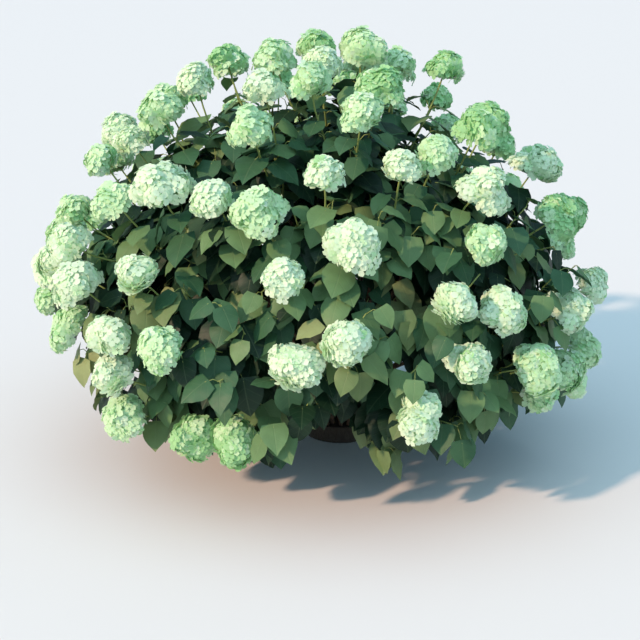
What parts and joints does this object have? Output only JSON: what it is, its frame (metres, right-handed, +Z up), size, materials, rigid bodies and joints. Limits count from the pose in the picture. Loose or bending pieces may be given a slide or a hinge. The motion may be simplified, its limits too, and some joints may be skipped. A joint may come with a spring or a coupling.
{
  "type": "hydrangea shrub",
  "caption": "Rounded flowering shrub: slender canes arch out of a low woody foot to masses of broad leaves and domed flower heads.",
  "frame": {"origin": "middle of the flat cut under the woody foot, at ground level", "axes": "+Z up, away from the ground; the front, where the crown is fullest, faces -Y; +X to the right as seen from the front"},
  "size_m": [1.8238, 1.7119, 1.3778],
  "materials": {
    "woody_foot": "rough fibrous bark on an old woody foot",
    "canes": "thin, slightly peeling bark on slender canes",
    "foliage": "soft matt leaves, with pale cream and green florets in domed heads"
  },
  "bodies": {
    "root": {"woody_foot": "woody_foot", "cane_low_1": "canes", "cane_low_2": "canes", "cane_low_3": "canes", "cane_low_4": "canes", "cane_middle_1": "canes", "cane_middle_2": "canes", "cane_middle_3": "canes", "cane_middle_4": "canes", "cane_middle_5": "canes", "cane_middle_6": "canes", "cane_middle_7": "canes", "cane_middle_8": "canes", "cane_middle_9": "canes", "cane_upper_1": "canes", "cane_upper_2": "canes", "cane_upper_3": "canes", "cane_upper_4": "canes", "cane_upper_5": "canes", "cane_upper_6": "canes", "cane_upper_7": "canes", "cane_upper_8": "canes", "cane_top_1": "canes", "cane_top_2": "canes", "cane_top_3": "canes", "foliage_skirt_1": "foliage", "foliage_skirt_2": "foliage", "foliage_skirt_3": "foliage", "foliage_skirt_4": "foliage", "foliage_skirt_5": "foliage", "foliage_skirt_6": "foliage", "foliage_skirt_7": "foliage", "foliage_skirt_8": "foliage", "foliage_skirt_9": "foliage", "foliage_skirt_10": "foliage", "foliage_skirt_11": "foliage", "foliage_low_1": "foliage", "foliage_low_2": "foliage", "foliage_low_3": "foliage", "foliage_low_4": "foliage", "foliage_middle_1": "foliage", "foliage_middle_2": "foliage", "foliage_middle_3": "foliage", "foliage_middle_4": "foliage", "foliage_middle_5": "foliage", "foliage_middle_6": "foliage", "foliage_middle_7": "foliage", "foliage_middle_8": "foliage", "foliage_middle_9": "foliage", "foliage_upper_1": "foliage", "foliage_upper_2": "foliage", "foliage_upper_3": "foliage", "foliage_upper_4": "foliage", "foliage_upper_5": "foliage", "foliage_upper_6": "foliage", "foliage_upper_7": "foliage", "foliage_upper_8": "foliage", "foliage_top_1": "foliage", "foliage_top_2": "foliage", "foliage_top_3": "foliage"}
  },
  "joints": []
}
